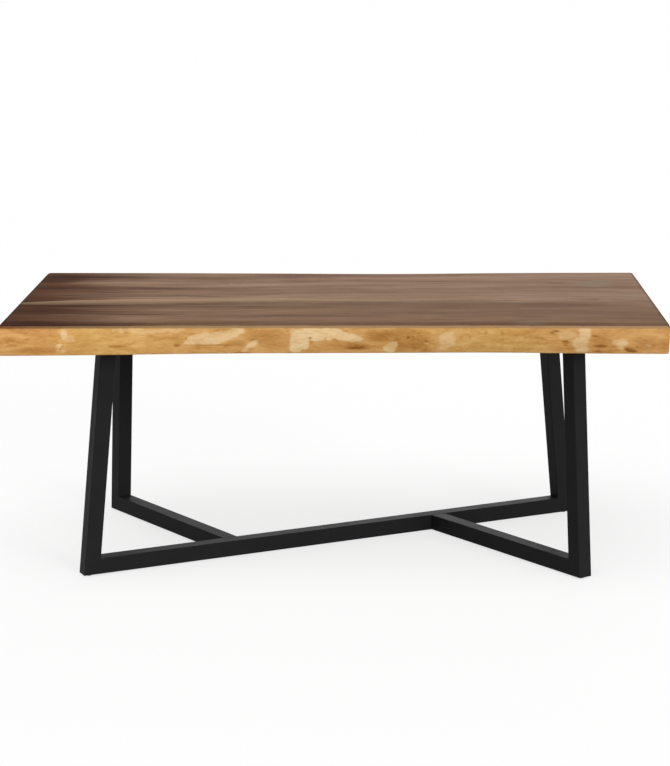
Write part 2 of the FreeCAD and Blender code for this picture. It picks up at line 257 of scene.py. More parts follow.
def wrapped(rows, columns, closed):
    """Quads between neighbouring points of a grid. A closed grid joins its last column to its first."""
    index = np.arange(rows * columns).reshape(rows, columns)
    if closed:
        index = np.hstack([index, index[:, :1]])
    return np.stack([index[:-1, :-1], index[1:, :-1], index[1:, 1:], index[:-1, 1:]], axis=-1).reshape(-1, 4)


def surface(name, grids, attributes, body, finish):
    """One closed piece from grids of points, each (points, closed), joined where their borders meet."""
    places, quads, total = [], [], 0
    for points, closed in grids:
        rows, columns = points.shape[:2]
        quads.append(wrapped(rows, columns, closed) + total)
        places.append(points.reshape(-1, 3))
        total += rows * columns
    places, quads = np.concatenate(places), np.concatenate(quads)
    mesh = bpy.data.meshes.new(name)
    mesh.vertices.add(len(places))
    mesh.vertices.foreach_set("co", places.astype(np.float32).ravel())
    mesh.loops.add(quads.size)
    mesh.loops.foreach_set("vertex_index", quads.astype(np.int32).ravel())
    mesh.polygons.add(len(quads))
    mesh.polygons.foreach_set("loop_start", np.arange(0, quads.size, 4, dtype=np.int32))
    mesh.update(calc_edges=True)
    for label, values in attributes.items():
        layer = mesh.attributes.new(label, "FLOAT", "POINT")
        layer.data.foreach_set("value", values.astype(np.float32).ravel())
    work = bmesh.new()
    work.from_mesh(mesh)
    bmesh.ops.remove_doubles(work, verts=work.verts, dist=merge_distance)
    bmesh.ops.recalc_face_normals(work, faces=work.faces)
    for face in work.faces:
        face.smooth = True
    work.to_mesh(mesh)
    work.free()
    mesh.validate()
    mesh.set_sharp_from_angle(angle=math.radians(sharp_angle))
    mesh.materials.append(finish)
    piece = placed(name, mesh)
    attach(piece, body)
    return piece


# Formulas of whole arrays

def smooth(low, high, value):
    """0 below low, 1 above high, and 3t^2 - 2t^3 between."""
    share = np.clip((value - low) / (high - low), 0, 1)
    return share * share * (3 - 2 * share)


def natural_curve(stations, values, at):
    """The cubic curve through the stations whose second derivative is 0 at both ends."""
    x, y = np.asarray(stations, float), np.asarray(values, float)
    step, rise = np.diff(x), np.diff(y) / np.diff(x)
    matrix, right = np.eye(len(x)), np.zeros(len(x))
    inner = np.arange(1, len(x) - 1)
    matrix[inner, inner - 1] = step[:-1]
    matrix[inner, inner] = 2 * (step[:-1] + step[1:])
    matrix[inner, inner + 1] = step[1:]
    right[inner] = 6 * np.diff(rise)
    bend = np.linalg.solve(matrix, right)
    k = np.clip(np.searchsorted(x, at) - 1, 0, len(step) - 1)
    a, b, h = (x[k + 1] - at) / step[k], (at - x[k]) / step[k], step[k]
    return a * y[k] + b * y[k + 1] + ((a ** 3 - a) * bend[k] + (b ** 3 - b) * bend[k + 1]) * h ** 2 / 6


def mark(x, y, half_length, half_height, strength, tilt=0, squareness=2):
    """One mark in full: a level ellipse, unless it is tilted or squarer."""
    return x, y, half_length, half_height, strength, math.radians(tilt), squareness


def marks(along, across, shapes):
    """The largest of strength (1 - |u|^p - |v|^p) over some marks, with p their squareness: above 0 inside
    one of them. Far away from a mark, u and v stop growing."""
    field = np.full(np.broadcast(along, across).shape, -1.0)
    for shape in shapes:
        x, y, half_length, half_height, strength, tilt, squareness = mark(*shape)
        u = np.abs((along - x) * math.cos(tilt) + (across - y) * math.sin(tilt)) / half_length
        v = np.abs((across - y) * math.cos(tilt) - (along - x) * math.sin(tilt)) / half_height
        inside = 1 - np.minimum(u, mark_limit) ** squareness - np.minimum(v, mark_limit) ** squareness
        field = np.maximum(field, np.where(inside > 0, inside * strength, inside))
    return field


def waves(along, across, seed, wavelength, count):
    """The mean of plane sine waves with seeded directions, phases and wavelengths near the given one."""
    random = np.random.default_rng(seed)
    ranges = ((-wave_turn, wave_turn), (0, TURN), wave_stretch)
    total = 0
    for angle, phase, stretch in zip(*(random.uniform(*span, count) for span in ranges)):
        distance = along * math.cos(angle) + across * wave_narrowing * math.sin(angle)
        total = total + np.sin(TURN * distance / (wavelength * stretch) + phase)
    return total / count


def inside_outlines(along, across, outlines):
    """The signed distance to the nearest of some outlines, above 0 inside it, and that outline's level. A
    point is inside where a line from it to the left crosses the outline an odd number of times."""
    field, level = np.full(along.shape, -1.0), np.zeros(along.shape)
    for outline_level, outline in outlines:
        nearest, odd = np.ones(along.shape), np.zeros(along.shape, bool)
        for (x0, z0), (x1, z1) in zip(outline, outline[1:] + outline[:1]):
            dx, dz = x1 - x0, z1 - z0
            share = np.clip(((along - x0) * dx + (across - z0) * dz) / (dx * dx + dz * dz), 0, 1)
            nearest = np.minimum(nearest, np.hypot(along - x0 - share * dx, across - z0 - share * dz))
            if dz:
                odd ^= ((z0 > across) != (z1 > across)) & (along > x0 + (across - z0) * dx / dz)
        signed = np.where(odd, nearest, -nearest)
        level = np.where(signed > field, outline_level, level)
        field = np.maximum(field, signed)
    return field, level


def spread_out(random, count):
    """Places along the back live edge: even steps, each moved a little."""
    return np.linspace(-back_reach, back_reach, count) + random.uniform(-back_jitter, back_jitter, count)


def scattered_outlines(seed, count):
    """Seeded patches for the live edge at the back, in the manner of the front one: ellipses that lean, whose
    reach differs from point to point."""
    random = np.random.default_rng(seed)
    heights = (slab_bottom + back_margin, table_height - back_margin)
    turns = np.linspace(0, TURN, outline_points, endpoint=False)
    outlines = []
    for x in spread_out(random, count):
        z, half_length, half_height = random.uniform(*zip(heights, mark_half_length, patch_half_height))
        reach = random.uniform(*patch_reach, outline_points)
        lean = random.uniform(*patch_lean)
        u, v = half_length * reach * np.cos(turns), half_height * reach * np.sin(turns)
        outlines.append((random.uniform(*patch_level), list(zip(x + u + lean * v, z + v))))
    return outlines


def scattered_amber(seed, count):
    """Seeded amber marks for the live edge at the back, in the manner and the terms of the front one's."""
    random = np.random.default_rng(seed)
    x = spread_out(random, count)
    ranges = ((slab_bottom + amber_margin, table_height - amber_margin), *amber_ranges)
    draws = (random.uniform(*span, count) for span in ranges)
    z, half_length, half_height, tilt, squareness, strength = draws
    return list(zip(x, z, half_length, half_height, strength, tilt, squareness))


# Slab

back_patches = scattered_outlines(seed=11, count=13)
back_amber = scattered_amber(seed=12, count=12)


def end_x(side, y):
    """Where the sawn end on the left (-1) or right (+1) lies at a given y: the ends aren't quite square."""
    if side < 0:
        return -slab_length / 2 + left_end_skew * (0.5 - y / slab_width)
    return slab_length / 2 - right_end_skew * (0.5 + y / slab_width)


def edge_setback(setbacks, share, rise):
    """How far a live edge stands back from half the width: natural curves along the length at the underside,
    the belly and the top, joined by the parabola through the three heights."""
    low, belly, high = (natural_curve(station_shares, level, share) for level in setbacks)
    b = belly_share
    return slab_width * (low * (rise - b) * (rise - 1) / b + belly * rise * (rise - 1) / (b * (b - 1))
                         + high * rise * (rise - b) / (1 - b))


def side_rows():
    """Heights up a live edge and the pull of its rounded arrises. At angle a round an arris of radius r the
    height is r sin a beyond its start, and the pull inwards is r (1 - cos a)."""
    low_turn = np.linspace(-TURN / 4, 0, arris_cells + 1)[:-1]
    high_turn = np.linspace(0, TURN / 4, arris_cells + 1)[1:]
    middle = np.linspace(bottom_arris_radius, slab_thickness - top_arris_radius, side_cells + 1)
    low = bottom_arris_radius * (1 + np.sin(low_turn))
    high = slab_thickness - top_arris_radius * (1 - np.sin(high_turn))
    pull = np.concatenate([bottom_arris_radius * (1 - np.cos(low_turn)), 0 * middle,
                           top_arris_radius * (1 - np.cos(high_turn))])
    roundness = np.concatenate([low_turn, 0 * middle, high_turn]) / (TURN / 4)
    return np.concatenate([low, middle, high]), pull, roundness


def live_edge_relief(x, z, knots, seed):
    """Low swells and ripples left by the tree's growth, and rise exp(-(distance / radius)^2) at each knot."""
    relief = swell_height * waves(x, z, seed, swell_length, count=7)
    relief = relief + ripple_height * waves(x, z, seed + 1, ripple_length, count=7)
    for knot_x, knot_z, radius, rise in knots:
        relief = relief + rise * np.exp(-((x - knot_x) ** 2 + (z - knot_z) ** 2) / radius ** 2)
    return relief


def stations(turns, radius):
    """Shares of the length, even between the roundings of the ends and then r (1 - sin a) from each end."""
    reach = radius / slab_length
    near = 0.5 - reach * (1 - np.sin(turns[1:]))
    even = np.linspace(reach - 0.5, 0.5 - reach, length_cells + 1)
    return np.concatenate([-near[::-1], even, near])[:, None]


def slab_rings():
    """The slab's skin, but for its ends: a closed section carried along the length. Near an end each section
    stands r (1 - sin a) from it and draws in by r (1 - cos a), with the corner's radius across and the
    arris's radius upwards."""
    turns = np.linspace(0, TURN / 4, arris_cells + 1)
    share, middle_share = stations(turns, end_corner_radius), stations(turns, end_arris_radius)
    lead = np.concatenate([turns[:0:-1], np.zeros(length_cells + 1), turns[1:]])[:, None]
    draw = 1 - np.cos(lead)
    height, pull, roundness = side_rows()
    height = end_arris_radius * draw + height * (1 - draw * 2 * end_arris_radius / slab_thickness)
    z = slab_bottom + height
    rise = height / slab_thickness
    x_middle = slab_length * share
    calm = smooth(0, calm_below, height) * smooth(0, calm_above, slab_thickness - height) * (1 - draw)
    half = slab_width / 2 - end_corner_radius * draw
    front = -(half - edge_setback(front_setbacks, share, rise) - pull)
    front = front - calm * live_edge_relief(x_middle, z, front_knots, seed=3)
    back = half - edge_setback(back_setbacks, share, rise) - pull
    back = back + calm * live_edge_relief(x_middle, z, (), seed=5)
    across = 0.5 - 0.5 * np.cos(np.linspace(0, TURN / 2, depth_cells + 1)[1:-1])
    top = front[:, -1:] + across * (back[:, -1:] - front[:, -1:])
    bottom = back[:, :1] + across * (front[:, :1] - back[:, :1])
    y = np.hstack([front, top, back[:, ::-1], bottom])
    z = np.hstack([z, 0 * top + z[:, -1:], z[:, ::-1], 0 * bottom + z[:, :1]])
    apart = np.minimum(y - np.maximum(front[:, :1], front[:, -1:]), np.minimum(back[:, :1], back[:, -1:]) - y)
    share = share + (middle_share - share) * smooth(0, 2 * end_corner_radius, apart)
    x = end_x(-1, y) + (share + 0.5) * (end_x(1, y) - end_x(-1, y))
    wear = np.concatenate([roundness, 0 * across + 1, roundness[::-1], 0 * across - 1])
    margin = np.minimum(y - front[:, :1], back[:, :1] - y)
    wear, draw = np.broadcast_to(wear, x.shape), np.broadcast_to(draw, x.shape)
    return np.stack([x, y, z], axis=-1), wear, draw, margin


def end_face(ring):
    """A sawn end inside its ring: each point is the sum of its places on the straight lines between opposite
    borders, less its place on the bilinear surface of the four corners, which is a Coons patch."""
    side = side_cells + 2 * arris_cells
    front = ring[:side + 1]
    top = ring[side:side + depth_cells + 1]
    back = ring[side + depth_cells:2 * side + depth_cells + 1][::-1]
    bottom = np.concatenate([ring[2 * side + depth_cells:], ring[:1]])[::-1]
    u = (0.5 - 0.5 * np.cos(np.linspace(0, TURN / 2, depth_cells + 1)))[:, None, None]
    v = np.linspace(0, 1, side + 1)[None, :, None]
    points = (1 - u) * front[None] + u * back[None] + (1 - v) * bottom[:, None] + v * top[:, None]
    points = points - (1 - u) * ((1 - v) * front[0] + v * front[-1]) - u * ((1 - v) * back[0] + v * back[-1])
    y = points[..., 1]
    return points, np.zeros(y.shape), np.ones(y.shape), np.minimum(y - y[:1], y[-1:] - y)


def wandering(x, middle, wanderings):
    """A line that sways about its middle: the sum of height sin(whole turns of x / length, plus phase)."""
    return middle + sum(height * np.sin(TURN * x / length + phase) for height, length, phase in wanderings)


def growth(x, y, z):
    """Distance from the tree's wandering pith, which lies close under the slab, bent round the knots."""
    pith_y = wandering(x, pith_middle_y, pith_wander_y)
    pith_z = wandering(x, pith_middle_z, pith_wander_z)
    distance = np.hypot(y - pith_y, z - pith_z)
    for knot_x, knot_y, half_length, half_width, push in top_knots:
        u, v = (x - knot_x) / half_length, (y - knot_y) / half_width
        distance = distance + push * np.exp(-u ** 2 - v ** 2)
    return distance + growth_wave_height * waves(x, y, seed=21, wavelength=growth_wave_length, count=5)


def streak_fields(x, y):
    """The light streak: above 0 inside it, 1 at its middle line and 0 at its borders; and the rise across it,
    from -1 at its front border to 1 at its back border."""
    path = np.array(streak_path)
    middle, half = np.interp(x, path[:, 0], path[:, 1]), np.interp(x, path[:, 0], path[:, 2])
    rise = (y - middle) / np.maximum(half, streak_narrowest)
    return np.clip(1 - np.abs(rise), -1, 1), np.clip(rise, -1, 1)


def slab_attributes(points, wear, end, margin):
    """What the wood's finish reads: growth for the figure, rind for the sapwood skin, and fields of marks.
    The sapwood is thick at the underside and thins to nothing at the top."""
    x, y, z = points[..., 0], points[..., 1], points[..., 2]
    front = y < 0
    on_top = (wear > flat) & (end < 0.5)
    stained = smooth(*arris_stain_span, table_height - top_arris_radius - z)
    skin = (1 - arris_stain_share) * (1 - np.clip(wear, 0, 1)) + arris_stain_share * stained
    sapwood = sapwood_at_top + (sapwood_at_bottom - sapwood_at_top) * (table_height - z) / slab_thickness
    inside = smooth(sapwood + sapwood_blend, sapwood - sapwood_blend, margin)
    rind = np.where(wear > flat, 0, np.where((wear < -flat) | (end > flat), inside, skin))
    warped_x = x + warp_along * waves(x, z, seed=31, wavelength=warp_along_length, count=5)
    warped_z = z + warp_up * waves(x, z, seed=32, wavelength=warp_up_length, count=5)
    front_field, front_level = inside_outlines(warped_x, warped_z, front_patches)
    back_field, back_level = inside_outlines(warped_x, warped_z, back_patches)
    streak, streak_rise = streak_fields(x, y)
    amber = np.where(front, marks(x, z, front_amber), marks(x, z, back_amber))
    from_end = np.minimum(x - end_x(-1, y), end_x(1, y) - x)
    return {
        "growth": growth(x, y, z),
        "rind": rind,
        "flank": np.tanh((y - pith_middle_y) / flank_blend),
        # Painted shade on the top along its front edge
        "painted_edge_shade": np.where(front, smooth(*painted_edge_shade_span, margin), 0),
        "end_grain": smooth(0, 0.5, end),
        "end_rim": np.where(end > flat, 0, smooth(*end_rim_span, from_end)),
        "pale": np.clip(np.where(front, front_field, back_field) / patch_border, -patch_limit, patch_limit),
        "pale_level": np.where(front, front_level, back_level),
        "amber": np.clip(amber, 0, 1),
        "fleck": np.clip(np.where(front, marks(x, z, front_flecks), 0), 0, 1),
        "streak": np.where(on_top, streak, -1),
        "streak_rise": streak_rise,
        "top_pale": np.where(on_top, marks(x, y, top_pale), -1),
        "top_smoke": np.clip(np.where(on_top, marks(x, y, top_smoke), 0), 0, 1),
        "top_dark_and_painted_shade": np.clip(np.where(on_top, marks(x, y, top_dark_and_painted_shade), 0), 0, 1),
    }


def slab(finish):
    """The slab in one closed piece: its skin and its two sawn ends, with the fields that its finish reads."""
    skin = slab_rings()
    parts = (skin, end_face(skin[0][0]), end_face(skin[0][-1]))
    fields = [slab_attributes(*part) for part in parts]
    joined = {label: np.concatenate([field[label].ravel() for field in fields]) for label in fields[0]}
    grids = [(part[0], part is skin) for part in parts]
    piece = surface("live_edge_slab", grids, joined, "table", finish)
    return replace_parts(piece, "tabletop")


# Materials, whose patterns are fields: a number, place or colour for each point of a surface

class Field:
    """What one output of a shader node gives. Number fields add, subtract and multiply as numbers do."""

    def __init__(self, socket):
        self.socket = socket
        self.tree = socket.id_data

    def __add__(self, other):
        return arithmetic("ADD", self, other)

    def __sub__(self, other):
        return arithmetic("SUBTRACT", self, other)

    def __mul__(self, other):
        return arithmetic("MULTIPLY", self, other)


def node(tree, kind, inputs=None, output=0, **settings):
    """Adds a shader node, with each input a plain value or the field that feeds it, and returns an output."""
    made = tree.nodes.new("ShaderNode" + kind)
    for label, value in settings.items():
        setattr(made, label, value)
    for label, value in (inputs or {}).items():
        if isinstance(value, Field):
            tree.links.new(value.socket, made.inputs[label])
        else:
            made.inputs[label].default_value = value
    return Field(made.outputs[output])


def material(name):
    """A new empty material, and the place that its patterns read, in Object coordinates."""
    made = bpy.data.materials.new(name)
    made.use_nodes = True
    made.node_tree.nodes.clear()
    return made, node(made.node_tree, "TexCoord", output="Object")


def arithmetic(operation, first, second=0.0):
    """One step of arithmetic on a field and a second field or number."""
    return node(first.tree, "Math", {0: first, 1: second}, operation=operation)


def axis(place, name):
    """One coordinate of a place."""
    return node(place.tree, "SeparateXYZ", {0: place}, name)


def vector(x, y, z):
    """The place that has three fields as its coordinates."""
    return node(x.tree, "CombineXYZ", {0: x, 1: y, 2: z})


def stretched(place, scales):
    """A place with its three coordinates multiplied by three numbers."""
    return node(place.tree, "Mapping", {"Vector": place, "Scale": scales})


def attribute(place, name):
    """A field that the mesh carries."""
    return node(place.tree, "Attribute", output="Fac", attribute_name=name)


def cloud(place, scale=1.0, detail=3, roughness=0.6, distortion=0.0):
    """Fractal noise about one half."""
    inputs = {"Vector": place, "Scale": scale, "Detail": detail, "Roughness": roughness}
    return node(place.tree, "TexNoise", {**inputs, "Distortion": distortion})


def pattern(place, name):
    """One of the drawn-out noises of the table of patterns."""
    scales, detail, roughness, distortion = patterns[name]
    return cloud(stretched(place, scales), 1.0, detail, roughness, distortion)


def softened(value, low, high):
    """The smooth step from 0 at low to 1 at high."""
    inputs = {"Value": value, "From Min": low, "From Max": high}
    return node(value.tree, "MapRange", inputs, interpolation_type="SMOOTHSTEP")


def ramped(share, stops):
    """Colours along a ramp, as (place, colour) stops."""
    made = share.tree.nodes.new("ShaderNodeValToRGB")
    elements = made.color_ramp.elements
    while len(elements) < len(stops):
        elements.new(0.5)
    for element, (place, colour) in zip(elements, stops):
        element.position = place
        element.color = (*colour, 1)
    share.tree.links.new(share.socket, made.inputs[0])
    return Field(made.outputs[0])


def mixed(share, first, second, blend_type="MIX"):
    """The first colour, brought towards the second by a share."""
    tree = next(value.tree for value in (share, first, second) if isinstance(value, Field))
    first, second = (colour if isinstance(colour, Field) else (*colour, 1) for colour in (first, second))
    return node(tree, "Mix", {0: share, 6: first, 7: second}, 2, data_type="RGBA", blend_type=blend_type)


def tinted(share, colour, tint):
    """A colour, multiplied by a tint as far as a share says."""
    return mixed(share, colour, tint, "MULTIPLY")


def put_out(shader, kind):
    """Joins a shader to the output of its material or world."""
    output = shader.tree.nodes.new("ShaderNodeOutput" + kind)
    shader.tree.links.new(shader.socket, output.inputs["Surface"])


def finished(made, inputs, height, relief, strength):
    """A principled surface with a bump of a given relief, joined to the output."""
    bump = node(made.node_tree, "Bump", {"Height": height, "Distance": relief, "Strength": strength})
    put_out(node(made.node_tree, "BsdfPrincipled", {**inputs, "Normal": bump}), "Material")
    return made


# Heartwood, sapwood and their marks, as linear colours. The shades, and the sapwood's rose, straw and grey,
# multiply the colour under them
white = (1, 1, 1)
heart_dark = (0.092, 0.047, 0.029)
heart_brown = (0.232, 0.143, 0.093)
heart_light = (0.355, 0.234, 0.16)
# Painted shade that darkens the top towards its left end
painted_left_end_shade = (0.32, 0.21, 0.155)
# Painted sheen that lightens and greys the top towards its right end
painted_right_sheen = (1.1, 1.12, 1.15)
# Painted shade towards the front of the top and painted sheen towards its back
painted_front_shade = (0.8, 0.72, 0.66)
painted_back_sheen = (1.17, 1.2, 1.24)
# Painted shade that darkens the top along its front edge
painted_edge_shade = (0.72, 0.68, 0.64)
strand_shade = (0.62, 0.55, 0.5)
end_grain_shade = (0.5, 0.42, 0.36)
pore_shade = (0.45, 0.4, 0.36)
smoke = (0.222, 0.17, 0.118)
rim_brown = (0.04, 0.022, 0.014)
streak_light = (0.35, 0.238, 0.14)
# The arris line's brown at the left end, darkened with painted shade
arris_left_with_painted_shade = (0.15, 0.064, 0.028)
arris_middle = (0.3, 0.19, 0.092)
arris_right = (0.35, 0.205, 0.102)
sap_amber = (0.345, 0.15, 0.032)
sap_gold = (0.555, 0.292, 0.094)
sap_light = (0.68, 0.405, 0.158)
sap_rose = (0.98, 0.95, 0.96)
sap_straw = (0.99, 1.05, 0.96)
sap_grey = (0.98, 0.98, 0.98)
vein_shade = (0.45, 0.32, 0.22)
fleck_shade = (0.56, 0.46, 0.34)
patch_shade = (0.68, 0.455, 0.215)
patch_light = (0.77, 0.56, 0.31)
# Ramps: the heartwood's figure, painted shade and sheen across the top, along the arris with painted shade at
# its left, the sapwood's figure, along the sapwood
heart_tones = ((0.38, heart_dark), (0.5, heart_brown), (0.62, heart_light))
# Painted shade at the front of the top, painted sheen at its back
painted_shade_and_sheen_across = ((0.0, painted_front_shade), (0.5, white), (1.0, painted_back_sheen))
arris_browns = ((0.03, arris_left_with_painted_shade), (0.32, arris_middle), (0.95, arris_right))
sap_tones = ((0.28, sap_amber), (0.46, sap_gold), (0.64, sap_light))
sap_tints = ((0.08, sap_rose), (0.18, sap_straw), (0.32, white), (0.6, sap_grey), (0.72, sap_straw),
             (0.83, white), (0.88, sap_rose))
# The figure that follows the growth field, as repeats in a metre along X and in a metre of growth, detail and
# roughness
growth_patterns = {"bands": (0.8, 11, 4, 0.58), "lines": (2.2, 90, 4, 0.6), "strands": (5, 420, 3, 0.65)}
end_ring_scale = 1300
# Other patterns, as repeats in a metre along X, Y and Z, detail, roughness and distortion
patterns = {
    "mottle": ((2.6, 5.5, 5.5), 4, 0.6, 0.6), "fibres": ((5, 420, 420), 3, 0.6, 0),
    "grain": ((30, 500, 500), 3, 0.6, 0), "swell": ((6, 14, 20), 2, 0.45, 0.7),
    "drift": ((5.5, 12, 16), 3, 0.5, 0.5), "flames": ((8, 30, 30), 4, 0.6, 1.3),
    "curls": ((34, 60, 105), 4, 0.65, 0.9), "pores": ((55, 900, 900), 2, 0.5, 0),
    "turning": ((300, 300, 2600), 2, 0.5, 0)}
# Powder coat, zinc plate and nylon
coat_dark = (0.012, 0.0121, 0.0125)
coat_light = (0.0168, 0.0168, 0.017)
coat_dust = (0.03, 0.029, 0.028)
zinc_tones = ((0.3, (0.42, 0.43, 0.45)), (0.55, (0.58, 0.59, 0.6)), (0.75, (0.66, 0.64, 0.58)))
nylon_dark = (0.012, 0.012, 0.013)
nylon_light = (0.028, 0.028, 0.029)


def along_slab(place):
    """The share of the way along the slab, near 0 at its left end and near 1 at its right end."""
    return axis(place, "X") * 0.5 + 0.5


def heart_figure(place, rings):
    """The wood's figure as it follows the growth field along the slab: broad bands, thin lines and thinner
    strands, each fractal noise that is drawn out along the slab; then blotchy mottling and fine fibres."""
    x, flank = axis(place, "X"), attribute(place, "flank")
    figure = {name: cloud(vector(x * along, rings * across, flank), detail=detail, roughness=roughness)
              for name, (along, across, detail, roughness) in growth_patterns.items()}
    return {**figure, "mottle": pattern(place, "mottle"), "fibres": pattern(place, "fibres")}


def heartwood(place, bands, lines, strands, mottle, fibres):
    """The top's colour: the figure, stronger towards the left, with painted shade towards the front and
    painted sheen towards the back, dark strands, smoky clouds, painted sheen towards the right, short dark
    marks, some of them painted shade, painted shade at the left end, painted shade along the front edge, the
    light streak and pale marks."""
    x, y = axis(place, "X"), axis(place, "Y")
    vigour = softened(x, 0.3, -0.7) * 0.45 + 0.62
    tone = bands * 0.46 + lines * 0.2 + mottle * 0.26 + fibres * 0.08 - 0.5
    colour = ramped(tone * vigour + 0.5, heart_tones)
    # Painted shade towards the front of the top and painted sheen towards its back
    colour = tinted(1.0, colour, ramped(y + 0.5, painted_shade_and_sheen_across))
    colour = tinted(softened(strands + mottle * 0.25, 0.62, 0.76) * 0.75, colour, strand_shade)
    ragged = lines * 1.1 - 0.55
    hazy = softened(attribute(place, "top_smoke") + mottle * 0.8 + lines * 2.2 - 1.5, 0.0, 0.9)
    colour = mixed(hazy * 0.6, colour, smoke)
    # Painted sheen: the top lighter and greyer towards its right end
    colour = tinted(softened(x, -0.5, 0.8), colour, painted_right_sheen)
    # Dark marks of the figure, some of them painted shade at the left corners and in the front middle
    dark = softened(attribute(place, "top_dark_and_painted_shade") + ragged, 0.05, 0.7)
    colour = mixed(dark * 0.6, colour, heart_dark)
    # Painted shade: the top darker towards its left end
    colour = tinted(softened(x + y * 0.1 + bands * 0.5, -0.22, -0.62), colour, painted_left_end_shade)
    # Painted shade: the top darker along its front edge
    colour = tinted(attribute(place, "painted_edge_shade"), colour, painted_edge_shade)
    streak = softened(attribute(place, "streak") + ragged * 0.6, -0.05, 0.35)
    rise = softened(attribute(place, "streak_rise"), -0.9, 0.9)
    reach = (softened(x, -1.0, -0.6) * 0.4 + 0.6) * (rise * 0.6 + 0.31)
    colour = mixed(streak * reach, colour, streak_light)
    speck = softened(attribute(place, "top_pale") + ragged, 0.1, 0.75)
    return mixed(speck * 0.8, colour, streak_light)


def sapwood(place, flames, curls):
    """The golden live edge: layers of growth laid bare as terraces, amber flames, thin dark lines, and pale
    patches with ragged borders. Slow drifts of rose and straw run through the gold."""
    grain, swell, drift = (pattern(place, name) for name in ("grain", "swell", "drift"))
    terraces = arithmetic("FRACT", swell * 13 + curls * 0.9) - 0.5
    stain = softened(attribute(place, "amber") + curls * 0.6 + flames * 1.5 - 1.15, 0.0, 0.7)
    tone = flames * 0.64 + curls * 0.26 + grain * 0.09 + terraces * 0.07 - stain * 0.15
    tints = ramped(along_slab(place) + drift * 0.2 - 0.1, sap_tints)
    colour = tinted(1.0, ramped(tone, sap_tones), tints)
    border = softened(swell, 0.42, 0.6) * 1.4 + 0.25
    patch = softened(attribute(place, "pale") + curls * 1.8 + flames * 1.4 - 1.6, -0.85, border)
    pale = mixed(softened(tone, 0.38, 0.58), patch_shade, patch_light)
    colour = mixed(patch * attribute(place, "pale_level"), colour, pale)
    fleck = softened(attribute(place, "fleck") + curls * 1.2 - 0.75, 0.0, 0.5)
    colour = tinted(fleck * 0.9, colour, fleck_shade)
    vein = softened(arithmetic("ABSOLUTE", flames - 0.52), 0.01, 0.0) * softened(swell, 0.5, 0.6)
    return tinted(vein * 0.45, colour, vein_shade)


def slab_wood():
    """Oiled hardwood: heartwood above, sapwood on the live edges with a brown line at the arris, rings and a
    dark rim on the sawn ends, and open pores all over."""
    made, place = material("oiled_live_edge_wood")
    rings, rind, end_grain = (attribute(place, name) for name in ("growth", "rind", "end_grain"))
    figure = heart_figure(place, rings)
    flames, curls = pattern(place, "flames"), pattern(place, "curls")
    skin = rind + flames * 0.3 - 0.15
    # The brown line at the arris, darker towards the left end as painted shade
    arris = ramped(along_slab(place), arris_browns)
    colour = mixed(softened(skin, 0.02, 0.24), heartwood(place, **figure), arris)
    colour = mixed(softened(skin, 0.4, 0.95), colour, sapwood(place, flames, curls))
    cut = softened(arithmetic("SINE", rings * end_ring_scale + figure["lines"] * 5), -0.2, 1.0)
    colour = tinted(end_grain * (cut * 0.6 + 0.15), colour, end_grain_shade)
    rim = attribute(place, "end_rim") * softened(skin, 0.6, 0.1)
    colour = mixed(rim * 0.8, colour, rim_brown)
    pores = softened(pattern(place, "pores"), 0.6, 0.72)
    colour = tinted(pores * 0.4, colour, pore_shade)
    roughness = figure["fibres"] * 0.14 + end_grain * 0.12 + 0.7
    height = curls * (rind * 1.2 + 0.1) + figure["fibres"] * 0.5 - pores * 0.8
    return finished(made, {"Base Color": colour, "Roughness": roughness, "Specular IOR Level": 0.015},
                    height, relief=0.00035, strength=0.6)


def powder_coat():
    """Satin black powder coat: a fine orange peel, faint cloudiness and a little dust."""
    made, place = material("satin_black_powder_coat")
    peel = cloud(place, 850, detail=2, roughness=0.5)
    cloudy = cloud(place, 14, detail=4)
    dust = softened(cloud(place, 160, detail=3, roughness=0.7), 0.6, 0.8)
    colour = mixed(dust * 0.25, mixed(cloudy, coat_dark, coat_light), coat_dust)
    inputs = {"Base Color": colour, "Roughness": cloudy * 0.16 + 0.44, "Specular IOR Level": 0.04}
    return finished(made, inputs, peel, relief=0.00012, strength=0.8)


def zinc_plate():
    """Bright zinc plate: fine turning marks, and cloudy passivation that shifts its tone and roughness."""
    made, place = material("bright_zinc_plate")
    turning, cloudy = pattern(place, "turning"), cloud(place, 120, detail=4)
    inputs = {"Base Color": ramped(cloudy, zinc_tones), "Metallic": 1.0, "Roughness": cloudy * 0.22 + 0.22}
    return finished(made, inputs, turning, relief=0.00004, strength=0.5)


def moulded_nylon():
    """Black moulded nylon with a spark-eroded grain."""
    made, place = material("black_moulded_nylon")
    grain = cloud(place, 1800, detail=2)
    colour = mixed(cloud(place, 90, detail=3), nylon_dark, nylon_light)
    inputs = {"Base Color": colour, "Roughness": grain * 0.2 + 0.48, "Specular IOR Level": 0.35}
    return finished(made, inputs, grain, relief=0.00005, strength=0.6)


# Weld beads and glide screws

bead_radius = 0.0028
bead_ripple = 0.0024
bead_swell = 0.16
bead_sink = 0.35
bead_cuts = 6
bead_sides = 12
tube_corner_radius = 0.0027
screw_sides = 48
stem_radius = 0.005
stem_rows = 190
stem_tip_chamfer = 0.001
thread_pitch = 0.0015
thread_depth = 0.0009
hexagon_chamfer = 0.0005
hexagon_middle = 0.001
closing_radius = 1e-6


def centre_of(name):
    """The middle of a solid's box."""
    low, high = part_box(name)
    return (low + high) / 2


def foot_frame(corner):
    """The middle of a leg's top, and the level unit vectors along and across its rail. A leg leans in the
    upright plane of its rail, so that plane holds the middles of the top plate and of the glide's sole."""
    plate = centre_of("top_plate_" + corner)
    along = plate - centre_of("glide_sole_" + corner)
    along = Vector((along.x, along.y, 0)).normalized()
    plate.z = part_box("top_plate_" + corner)[0].z
    return plate, along, Vector((-along.y, along.x, 0))


